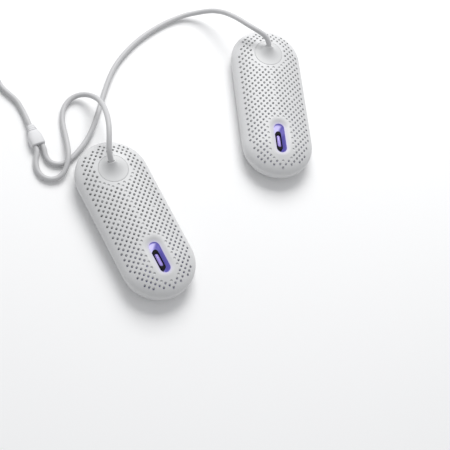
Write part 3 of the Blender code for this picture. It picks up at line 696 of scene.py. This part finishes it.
def front_shell_mesh():
    """Domed face with every vent, the slot's recess and the nozzle's seat, on a real wall."""
    bm = bmesh.new()
    places = vents()
    rim = VENT_RADIUS + VENT_CHAMFER
    slot_rim, seat_rim = SLOT_EDGE + EDGE_ROUND, NOZZLE_RADIUS + SEAT_GAP + EDGE_ROUND
    holes = [slot_outline(slot_rim), disc(0, NOZZLE_Y, seat_rim, SEAT_SIDES)]
    holes += [disc(x, y, rim, VENT_SIDES) for x, y, _ in places]
    guides = [slot_outline(SLOT_EDGE + reach) for reach in RECESS_STEPS]
    guides.append(disc(0, NOZZLE_Y, seat_rim + 0.0004, SEAT_SIDES))
    edge, rings = fill(bm, pod_outline(PATCH_REACH), holes, guides, outer_height)

    first = math.acos(PATCH_REACH / HALF_WIDTH)
    tilts = [first * (1 - i / DOME_STEPS) for i in range(1, DOME_STEPS + 1)]
    side = [(HALF_WIDTH * math.cos(a), EQUATOR + (THICKNESS - EQUATOR) * math.sin(a)) for a in tilts]
    low = PARTING + EDGE_ROUND
    drops = [EQUATOR + (low - EQUATOR) * i / WALL_STEPS for i in range(1, WALL_STEPS + 1)]
    side += [(back_reach(z), z) for z in drops]
    side_rings = chain(bm, [edge] + [raised(pod_outline(r), z) for r, z in side])
    outside_faces = len(bm.faces)

    open_rings = [ring for ring, (_, _, is_open) in zip(rings[2:], places) if is_open]
    open_places = [(x, y) for x, y, is_open in places if is_open]
    inner_holes = holes[:2] + [disc(x, y, VENT_THROAT, VENT_SIDES) for x, y in open_places]
    inner_holes += [disc(x, y, INNER_POST_RADIUS, POST_SIDES) for x, y in posts()]
    inner_edge, inner_rings = fill(bm, pod_outline(PATCH_REACH), inner_holes, [], inner_height)

    seam, lip_top = back_reach(PARTING) - LIP_THICK, PARTING + LIP_HEIGHT
    inner_tilt = math.acos(PATCH_REACH / (HALF_WIDTH - WALL))
    inner = [(back_reach(PARTING) - EDGE_ROUND, PARTING), (seam, PARTING), (seam, lip_top),
             (back_reach(lip_top, WALL), lip_top), (back_reach(0.0095, WALL), 0.0095)]
    for share in (0, 0.5):
        a = inner_tilt * share
        inner.append(((HALF_WIDTH - WALL) * math.cos(a),
                      EQUATOR + (THICKNESS - EQUATOR - WALL) * math.sin(a)))
    chain(bm, [side_rings[-1]] + [raised(pod_outline(r), z) for r, z in inner] + [inner_edge])

    for ring, inner_ring, (x, y) in zip(open_rings, inner_rings[2:], open_places):
        neck = raised(disc(x, y, VENT_RADIUS, VENT_SIDES), outer_height(x, y) - VENT_NECK)
        chain(bm, [ring, neck, inner_ring])
    for ring, (x, y, is_open) in zip(rings[2:], places):
        if not is_open:
            top = outer_height(x, y)
            neck = raised(disc(x, y, VENT_RADIUS, VENT_SIDES), top - VENT_NECK)
            foot = raised(disc(x, y, 0.9 * VENT_RADIUS, VENT_SIDES), top - BLIND_DEPTH)
            bm.faces.new(chain(bm, [ring, neck, foot])[-1])
    turned = [(slot_outline, slot_rim, 0), (lambda r: disc(0, NOZZLE_Y, r, SEAT_SIDES), seat_rim, 1)]
    for outline, radius, number in turned:
        half = [(x, y, outer_height(x, y) - 0.3 * EDGE_ROUND) for x, y in outline(radius - 0.7 * EDGE_ROUND)]
        wall = [(x, y, outer_height(x, y) - EDGE_ROUND) for x, y in outline(radius - EDGE_ROUND)]
        chain(bm, [rings[number], half, wall, inner_rings[number]])
    for ring, (x, y) in zip(inner_rings[2 + len(open_places):], posts()):
        tube = [raised(disc(x, y, radius, POST_SIDES), z) for radius, z in
                ((INNER_POST_RADIUS, POST_FOOT), (POST_BORE, POST_FOOT), (POST_BORE, POST_BORE_TOP))]
        bm.faces.new(chain(bm, [ring, *tube])[-1])
    mesh = finish_mesh(bm, "front_shell", sharp=50)
    set_outer_normals(mesh, outside_faces)
    return mesh


def rounded_box_outline(half_x, half_y, corner, steps=6):
    ring = []
    for quarter, (sx, sy) in enumerate(((1, 1), (-1, 1), (-1, -1), (1, -1))):
        for i in range(steps + 1):
            angle = math.pi / 2 * (quarter + i / steps)
            ring.append((sx * (half_x - corner) + corner * math.cos(angle),
                         sy * (half_y - corner) + corner * math.sin(angle)))
    return ring


def rear_shell_mesh():
    """Tray with a rounded edge, sunk screws and a shallow blank panel."""
    bm = bmesh.new()
    top = PARTING - GAP
    sides = [raised(pod_outline(back_reach(z)), z) for z in (top - EDGE_ROUND, *BACK_RINGS)]
    holes = [disc(x, y, SCREW_SINK + EDGE_ROUND, BOSS_SIDES) for x, y in posts()]
    holes.append(rounded_box_outline(*PANEL_HALF, PANEL_CORNER))
    edge, rings = fill(bm, pod_outline(back_reach(0.0)), holes, [], 0.0)
    side_rings = chain(bm, sides + [edge])
    outside_faces = len(bm.faces)

    tongue = back_reach(PARTING) - LIP_THICK - GAP
    tongue_top = PARTING + LIP_HEIGHT - GAP
    inner = [(back_reach(top) - EDGE_ROUND, top), (tongue, top), (tongue, tongue_top),
             (back_reach(PARTING, WALL), tongue_top), (back_reach(0.0045, WALL), 0.0045),
             (back_reach(0.0029, WALL), 0.0029)]
    inner_edge_radius = back_reach(WALL, WALL) - 0.001
    floor_holes = [disc(x, y, BOSS_RADIUS, BOSS_SIDES) for x, y in posts()]
    inner_edge, inner_rings = fill(bm, pod_outline(inner_edge_radius), floor_holes, [], WALL)
    chain(bm, [side_rings[0]] + [raised(pod_outline(r), z) for r, z in inner] + [inner_edge])
    for ring, inner_ring, (x, y) in zip(rings, inner_rings, posts()):
        well = [(SCREW_SINK, EDGE_ROUND), (SCREW_SINK, SCREW_SEAT), (SCREW_BORE, SCREW_SEAT),
                (SCREW_BORE, POST_FOOT - GAP), (BOSS_RADIUS, POST_FOOT - GAP)]
        chain(bm, [ring] + [raised(disc(x, y, r, BOSS_SIDES), z) for r, z in well] + [inner_ring])
    half_x, half_y = (half - PANEL_SLOPE for half in PANEL_HALF)
    inset = rounded_box_outline(half_x, half_y, PANEL_CORNER - PANEL_SLOPE)
    bm.faces.new(chain(bm, [rings[-1], raised(inset, PANEL_DEPTH)])[-1])
    mesh = finish_mesh(bm, "rear_shell", sharp=50)
    set_outer_normals(mesh, outside_faces)
    return mesh


# The nozzle, the lamp and the screws.

def leaning_circle(centre, radius, lean=0.0):
    """Ring of points about a centre, leaning from +z towards +y."""
    ring = []
    for i in range(SEAT_SIDES):
        angle = 2 * math.pi * i / SEAT_SIDES
        across, along = radius * math.cos(angle), radius * math.sin(angle)
        ring.append(Vector(centre) + Vector((across, along * math.cos(lean), -along * math.sin(lean))))
    return ring


def nozzle_mesh():
    """Disc in the face that flares up into a leaning collar with a rounded lip."""
    tip = Vector((0, COLLAR_Y, COLLAR_Z))
    rings = [leaning_circle((0, NOZZLE_Y, z), radius)
             for radius, z in ((NOZZLE_FLANGE, FLANGE_Z), (NOZZLE_FLANGE, FLANGE_Z + FLANGE_THICK),
                               (NOZZLE_RADIUS, FLANGE_Z + FLANGE_THICK))]
    for radius, sunk in ((NOZZLE_RADIUS, EDGE_ROUND), (NOZZLE_RADIUS - 0.3 * EDGE_ROUND, 0.3 * EDGE_ROUND)):
        rings.append([(x, y, outer_height(x, y) - sunk)
                      for x, y in disc(0, NOZZLE_Y, radius, SEAT_SIDES)])
    outer = NOZZLE_RADIUS - EDGE_ROUND
    foot = raised(disc(0, NOZZLE_Y, outer, SEAT_SIDES), outer_height)
    head = leaning_circle(tip, COLLAR_RADIUS, EXIT_LEAN)
    for i in range(FLARE_STEPS + 1):
        share = i / FLARE_STEPS
        ring = []
        for low, high in zip(foot, head):
            x, y = (low[k] + (high[k] - low[k]) * share for k in (0, 1))
            ring.append((x, y, outer_height(x, y) + (high.z - outer_height(x, y)) * share ** FLARE_POWER))
        rings.append(ring)
    lip = ((COLLAR_RADIUS, 0.0003), (COLLAR_RADIUS - 0.00008, 0.00045), (COLLAR_RADIUS - 0.0003, 0.0005),
           (BORE_RADIUS + 0.00008, 0.00042), (BORE_RADIUS, 0.0002), (BORE_RADIUS, -BORE_DEPTH))
    for radius, run in lip:
        rings.append(leaning_circle(tip + exit_axis() * run, radius, EXIT_LEAN))
    bm = bmesh.new()
    skin(bm, rings)
    return finish_mesh(bm, "nozzle", sharp=50)


def well_mesh():
    """Tapering reflector with a rounded rim, a flange under the face and a rounded foot."""
    section = ((0.0046, 0.0074), (0.0052, 0.008), (0.0057, 0.0199), (0.008, 0.0199), (0.008, 0.0217),
               (0.00595, 0.0217), (0.00595, 0.0237), (0.00585, 0.0238), (0.0048, 0.0238),
               (0.00463, 0.02372), (0.00456, 0.0235), (0.00445, 0.0205), (0.0043, 0.017),
               (0.0041, 0.0135), (0.0039, 0.0105), (0.0037, 0.0094), (0.0033, 0.0089))
    bm = bmesh.new()
    skin(bm, [raised(slot_outline(radius), z) for radius, z in section])
    return finish_mesh(bm, "lamp_well", sharp=40)


def holder_mesh():
    """Black cup with a rounded end that the lamp lies in."""
    middle, half = -0.044, 0.0071
    section = ((0.0026, 0.0092), (0.0026, HOLDER_TOP - 0.0006), (0.0025, HOLDER_TOP - 0.0002),
               (0.00235, HOLDER_TOP))
    trough = ((0.00215, HOLDER_TOP), (0.00205, LAMP_Z - 0.001), (0.0014, LAMP_Z - 0.0022))
    bm = bmesh.new()
    rings = [raised(stadium(radius, half, middle, 12, 6), z) for radius, z in section]
    rings += [raised(stadium(radius, half - 0.0027, middle, 12, 6), z) for radius, z in trough]
    skin(bm, rings)
    return finish_mesh(bm, "lamp_holder", sharp=40)


def turned_along_y(section, sides, z):
    """Rings of a solid turned about a line along y; section gives (radius, y)."""
    turns = [2 * math.pi * i / sides for i in range(sides)]
    return [[(radius * math.cos(t), y, z + radius * math.sin(t)) for t in turns]
            for radius, y in section]


def lamp_mesh():
    """Glass tube with domed ends."""
    radius, low, high = 0.0019, -0.0484, -0.0396
    section = []
    for end, sign in ((low, -1), (high, 1)):
        angles = [math.pi / 2 * i / 6 for i in range(1, 7)]
        dome = [(radius * math.sin(a), end + sign * radius * math.cos(a)) for a in angles]
        section += dome if sign < 0 else dome[::-1]
    bm = bmesh.new()
    skin(bm, turned_along_y(section, 20, LAMP_Z))
    return finish_mesh(bm, "lamp", sharp=50)


def screw_mesh():
    """Screw along +z from its seat: a domed head with a cross recess, and a threaded shank."""
    head, shank, sides = 0.0027, 0.0012, 24
    section = [(head * 0.35, 0.0016), (head * 0.7, 0.00168), (head * 0.92, 0.0019), (head, 0.0022),
               (head, 0.00285), (head - 0.0001, 0.0029), (shank, 0.0029)]
    for i in range(12):
        z = 0.0034 + 0.0008 * i
        section += [(shank * 0.78, z), (shank, z + 0.0004)]
    section.append((shank * 0.5, 0.0132))
    bm = bmesh.new()
    skin(bm, [raised(disc(0, 0, radius, sides), z) for radius, z in section])
    screw = add_object("screw_blank", finish_mesh(bm, "screw"), bpy.data.materials["steel"])
    for turn in (0, math.pi / 2):
        bm = bmesh.new()
        rings = [raised(rounded_box_outline(0.0014, 0.00028, 0.0001, 2), 0.001),
                 raised(rounded_box_outline(0.0011, 0.00022, 0.0001, 2), 0.0025)]
        skin(bm, rings)
        cutter = add_object("cross", finish_mesh(bm, "cross"), bpy.data.materials["steel"])
        cutter.matrix_world = Matrix.Rotation(turn, 4, "Z")
        cut(screw, cutter)
    mesh = screw.data
    bpy.data.objects.remove(screw)
    return mesh


# Pieces on the cord.

def rounded_section(half_wide, half_high, power, sides):
    """Superellipse: 1 gives an ellipse, and less gives a squarer outline."""
    outline = []
    for i in range(sides):
        angle = 2 * math.pi * i / sides
        wide = math.copysign(abs(math.cos(angle)) ** power, math.cos(angle))
        high = math.copysign(abs(math.sin(angle)) ** power, math.sin(angle))
        outline.append((wide * half_wide, high * half_high))
    return outline


def rod_mesh(start, end, radius, sides=24):
    bm = bmesh.new()
    turn = (end - start).to_track_quat("Z", "Y").to_matrix().to_4x4()
    bmesh.ops.create_cone(bm, cap_ends=True, segments=sides, radius1=radius, radius2=radius,
                          depth=(end - start).length, matrix=Matrix.Translation((start + end) / 2) @ turn)
    return finish_mesh(bm, "rod")


def make_splitter(material):
    """Flat moulded fork with a rounded rim, sockets for the cords and a grooved tail."""
    middle = SPLITTER_HEIGHT / 2
    stations = [(0.0, 0.0054, 0.0032), (0.00015, 0.0060, 0.0038), (0.0005, 0.0064, 0.00412),
                (0.0011, 0.0066, middle), (0.0075, 0.0066, middle), (0.0095, 0.0063, 0.0042),
                (0.0115, 0.0056, 0.0041), (0.0132, 0.0050, 0.0040)]
    for groove in range(3):
        start = 0.0140 + 0.0017 * groove
        wide = 0.0046 - 0.0004 * groove
        high = 0.0038 - 0.0002 * groove
        stations += [(start, wide, high), (start + 0.00015, wide - 0.0006, 0.0032),
                     (start + 0.0006, wide - 0.0006, 0.0032), (start + 0.00075, wide, high - 0.0001)]
    stations += [(0.0192, 0.0034, 0.0033), (0.0198, 0.0033, 0.0032), (SPLITTER_LENGTH, 0.003, 0.0029)]
    bm = bmesh.new()
    rings = []
    for along, half_wide, half_high in stations:
        outline = rounded_section(half_wide, half_high, 0.62, 40)
        rings.append([splitter_point(along, wide, middle + high) for wide, high in outline])
    skin(bm, rings)
    piece = add_object("fork_joint", finish_mesh(bm, "fork_joint", sharp=30), material)
    sockets = [(-CUT_PAST, POCKET + GAP, 0.5), (-CUT_PAST, POCKET + GAP, -0.5),
               (SPLITTER_LENGTH - POCKET - GAP, SPLITTER_LENGTH + CUT_PAST, 0.0)]
    for start, end, across in sockets:
        aside = across * BRANCH_SPACING
        rod = rod_mesh(splitter_point(start, aside), splitter_point(end, aside), CORD_RADIUS + SOCKET_CLEAR)
        cut(piece, add_object("socket", rod, material))
    return piece


def make_tie(material):
    """Soft strap round the coil's turns, with a lapped tail."""
    low, high = COIL_HEIGHTS[0] - CORD_RADIUS, COIL_HEIGHTS[1] + CORD_RADIUS
    inner, outer = COIL_RADII[-1] - CORD_RADIUS, COIL_RADII[0] + CORD_RADIUS
    place = Matrix.Translation((*COIL_CENTRE, 0)) @ Matrix.Rotation(TIE_ANGLE, 4, "Z")
    middle_x, middle_z = (inner + outer) / 2, (low + high) / 2
    room, corner, steps, thick, width = 0.0002, 0.0022, 5, 0.0009, 0.0060
    half_x, half_z = (outer - inner) / 2 + room, (high - low) / 2 + room
    line = []
    for quarter, (sx, sz) in enumerate(((1, 1), (-1, 1), (-1, -1), (1, -1))):
        for i in range(steps + 1):
            angle = math.pi / 2 * (quarter + i / steps)
            out = Vector((math.cos(angle), 0, math.sin(angle)))
            at = Vector((middle_x + sx * (half_x - corner), 0, middle_z + sz * (half_z - corner)))
            line.append((at + out * corner, out))
    lap = [(point + out * (thick + 0.0001), out) for point, out in line[-2:] + line[:steps + 4]]
    bm = bmesh.new()
    for run, closed in ((line, True), (lap, False)):
        rings = []
        for point, out in run:
            section = rounded_section(width / 2, thick / 2, 0.35, 16)
            rings.append([place @ (point + out * (thick / 2 + b) + Vector((0, a, 0)))
                          for a, b in section])
        skin(bm, rings, capped=not closed)
    return add_object("coil_strap", finish_mesh(bm, "coil_strap", sharp=40), material)


def make_plug(material, metal):
    """Generic flat two-pin plug: ribbed grips, a segmented strain relief and drilled pins."""
    place = Matrix.Translation((*PLUG_TAIL, PLUG_HEIGHT)) @ Matrix.Rotation(PLUG_TURN, 4, "Z")
    section = [(0.0, 0.0027), (0.0003, 0.0030)]
    for i in range(6):
        start = 0.003 + 0.0034 * i
        radius = 0.0032 + 0.00022 * i
        section += [(start, radius), (start + 0.0002, radius - 0.0007), (start + 0.0010, radius - 0.0007),
                    (start + 0.0012, radius)]
    section += [(RELIEF_LENGTH - 0.002, 0.0047), (RELIEF_LENGTH - GAP, 0.0048)]
    bm = bmesh.new()
    rings = []
    for x, radius in section:
        rings.append([(x, a, b) for a, b in disc(0, 0, radius, 28)])
    skin(bm, rings)
    relief = add_object("plug_boot", finish_mesh(bm, "plug_boot", sharp=30), material, place)
    ends = [Vector((x, 0, 0)) for x in (-CUT_PAST, POCKET + GAP)]
    hole = rod_mesh(*ends, CORD_RADIUS + SOCKET_CLEAR)
    cut(relief, add_object("hole", hole, material, place))

    front = RELIEF_LENGTH + PLUG_LENGTH
    stations = [(RELIEF_LENGTH, 0.0058, 0.0048), (RELIEF_LENGTH + 0.0003, 0.0064, 0.0054),
                (RELIEF_LENGTH + 0.0015, 0.0078, 0.0066), (RELIEF_LENGTH + 0.004, 0.0096, 0.0078)]
    for i in range(5):
        x = RELIEF_LENGTH + 0.0058 + 0.0026 * i
        wide, high = 0.0103 + 0.0004 * i, 0.0080 + 0.00012 * i
        stations += [(x, wide, high), (x + 0.0004, wide - 0.0006, high),
                     (x + 0.0012, wide - 0.0006, high + 0.0001), (x + 0.0016, wide, high + 0.0001)]
    stations += [(front - 0.009, 0.0125, 0.0088), (front - 0.0015, 0.0125, 0.0088),
                 (front - 0.0006, 0.0123, 0.0086), (front - 0.0001, 0.0118, 0.0081), (front, 0.0110, 0.0073)]
    bm = bmesh.new()
    skin(bm, [[(x, a, b) for a, b in rounded_section(wide, high, 0.5, 48)] for x, wide, high in stations])
    body = add_object("plug_housing", finish_mesh(bm, "plug_housing", sharp=30), material, place)

    pins = []
    for number, y in enumerate((-PIN_SPACING / 2, PIN_SPACING / 2), 1):
        start = front + GAP
        stations = [(start, 1.0, 1.0), (start + PIN_LENGTH - 0.002, 1.0, 1.0),
                    (start + PIN_LENGTH - 0.0006, 0.8, 0.9), (start + PIN_LENGTH, 0.35, 0.7)]
        bm = bmesh.new()
        rings = []
        for x, thin, tall in stations:
            outline = rounded_section(0.00075 * thin, 0.0032 * tall, 0.3, 20)
            rings.append([(x, y + a, b) for a, b in outline])
        skin(bm, rings)
        pin = add_object(f"plug_blade_{number}", finish_mesh(bm, "plug_blade", sharp=30), metal, place)
        ends = [Vector((front + PIN_HOLE, y + aside, 0)) for aside in (-0.002, 0.002)]
        cut(pin, add_object("hole", rod_mesh(*ends, PIN_HOLE_RADIUS), metal, place))
        pins.append(pin)
    return [relief, body, *pins]


# What the pieces are made of.

MATERIALS = {
    "casing": dict(colour=(0.665, 0.667, 0.67), roughness=0.42, grain=0.12, drift=0.01),
    "casing_back": dict(colour=(0.65, 0.652, 0.655), roughness=0.5, grain=0.3, drift=0.015),
    "nozzle": dict(colour=(0.60, 0.603, 0.605), roughness=0.42, grain=0.08, drift=0.01),
    "jacket": dict(colour=(0.54, 0.54, 0.546), roughness=0.5, grain=0.15, drift=0.03),
    "fork": dict(colour=(0.70, 0.70, 0.71), roughness=0.5, grain=0.2, drift=0.02),
    "strap": dict(colour=(0.52, 0.52, 0.53), roughness=0.75, grain=0.6, grain_scale=4000.0, drift=0.05),
    "plug": dict(colour=(0.72, 0.72, 0.73), roughness=0.45, grain=0.2, drift=0.02),
    "brass": dict(colour=(0.78, 0.62, 0.30), roughness=0.25, metallic=1.0, grain=0.1, drift=0.06),
    "steel": dict(colour=(0.60, 0.60, 0.61), roughness=0.3, metallic=1.0, grain=0.1, drift=0.05),
    "aluminium": dict(colour=(0.72, 0.73, 0.74), roughness=0.4, metallic=1.0, grain=0.2, drift=0.05),
    "ceramic": dict(colour=(0.62, 0.55, 0.44), roughness=0.75, grain=0.5, drift=0.08),
    "insulator": dict(colour=(0.20, 0.15, 0.10), roughness=0.65, grain=0.3, drift=0.08),
    "board": dict(colour=(0.02, 0.12, 0.05), roughness=0.4, grain=0.2, drift=0.15),
    "black": dict(colour=(0.003, 0.003, 0.004), roughness=0.5, grain=0.1, drift=0.2, Specular_IOR_Level=0.12),
    "copper": dict(colour=(0.50, 0.20, 0.07), roughness=0.4, metallic=0.6, grain=0.4, drift=0.1),
    "red_wire": dict(colour=(0.35, 0.03, 0.025), roughness=0.5, grain=0.1, drift=0.05),
    "violet": dict(colour=(0.11, 0.09, 0.20), roughness=0.35, grain=0.05, drift=0.03),
    "lamp": dict(colour=(0.35, 0.28, 0.6), roughness=0.15, grain=0.02, drift=0.03,
                 Emission_Color=(0.36, 0.28, 0.85, 1), Emission_Strength=0.3),
}
INNER_NODES = {
    "heater_tray": "insulator", "ptc_heater": "ceramic", "heat_spreader": "aluminium",
    "thermal_fuse": "steel", "control_board": "board", "transformer_core": "black",
    "transformer_coil": "copper", "board_capacitor": "black", "board_rectifier": "black",
    "cord_clamp": "black", "inner_lead": "jacket", "supply_wire": "red_wire", "lamp_wire": "red_wire",
}


def add_pods(paint):
    """Both pods share their meshes; each piece rides on its pod and stands for its CAD node."""
    outer = [
        ("shell_front", front_shell_mesh(), "casing", "front_shell", "white_shell"),
        ("shell_rear", rear_shell_mesh(), "casing_back", "rear_shell", "back_shell"),
        ("nozzle", nozzle_mesh(), "nozzle", "cable_nozzle", "nozzle_plastic"),
        ("reflector", well_mesh(), "violet", "lamp_well", "well_violet"),
        ("lamp_cup", holder_mesh(), "black", "lamp_holder", "black_plastic"),
        ("lamp_tube", lamp_mesh(), "lamp", "uv_lamp", "lamp_glass"),
    ]
    screw = screw_mesh()
    for side in POD_TURNS:
        place, body = pod_place(side), f"pod_{side}"
        for name, mesh, finish, node, slot in outer:
            piece = add_object(f"{name}_{side}", mesh, paint[finish], place)
            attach(piece, body)
            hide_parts(f"{node}_{side}")
        for number, (x, y) in enumerate(posts(), 1):
            piece = add_object(f"screw_{side}_{number}", screw, paint["steel"],
                               place @ Matrix.Translation((x, y, 0)))
            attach(piece, body)
            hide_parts(f"case_screw_{side}_{number}")
        for node, finish in INNER_NODES.items():
            mesh = frame["nodes"][f"{node}_{side}"].data
            mesh.materials.clear()
            mesh.materials.append(paint[finish])


def add_floor():
    mesh = bpy.data.meshes.new("floor")
    corners = [(FLOOR_REACH * x, FLOOR_REACH * y, FLOOR_Z) for x, y in ((-1, -1), (1, -1), (1, 1), (-1, 1))]
    mesh.from_pydata(corners, [], [(0, 1, 2, 3)])
    paint = new_material("floor", FLOOR_COLOUR, 0.9, drift=0.005, drift_scale=3.0)
    floor = add_object("floor", mesh, paint)


def add_light():
    """A wide soft key from behind on the left, and an even pale sky."""
    world = bpy.data.worlds.new("studio")
    world.use_nodes = True
    bpy.context.scene.world = world
    backdrop = world.node_tree.nodes["Background"]
    backdrop.inputs["Color"].default_value = SKY_COLOUR
    backdrop.inputs["Strength"].default_value = SKY_STRENGTH
    data = bpy.data.lights.new("key", "AREA")
    data.shape = "SQUARE"
    data.size = KEY_SIDE
    data.energy = KEY_POWER
    key = bpy.data.objects.new("key", data)
    key.location = KEY_PLACE
    key.rotation_euler = (-Vector(KEY_PLACE)).to_track_quat("-Z", "Y").to_euler()
    bpy.context.scene.collection.objects.link(key)
    bpy.context.scene.view_settings.view_transform = "Standard"


def main():
    make_camera()
    paint = {name: new_material(name, **look) for name, look in MATERIALS.items()}
    # Painted lamp light: an emission glow on the reflector, which is no lamp.
    paint_reflector_glow(paint["violet"])
    # Painted lamp light: a violet spill painted on the casing along the slot's edge.
    paint_lamp_spill(paint["casing"])
    splitter = make_splitter(paint["fork"])
    tie = make_tie(paint["strap"])
    plug = make_plug(paint["plug"], paint["brass"])
    on_cord = [(splitter, "cord_splitter", "splitter_plastic"), (tie, "coil_tie", "tie_strap"),
               (plug[0], "plug_relief", "plug_plastic"), (plug[1], "plug_body", "plug_plastic"),
               (plug[2], "plug_pin_1", "brass_pins"), (plug[3], "plug_pin_2", "brass_pins")]
    for piece, node, slot in on_cord:
        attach(piece, "root")
        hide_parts(node)
    add_cords(paint["jacket"])
    add_pods(paint)
    add_floor()
    add_light()


main()
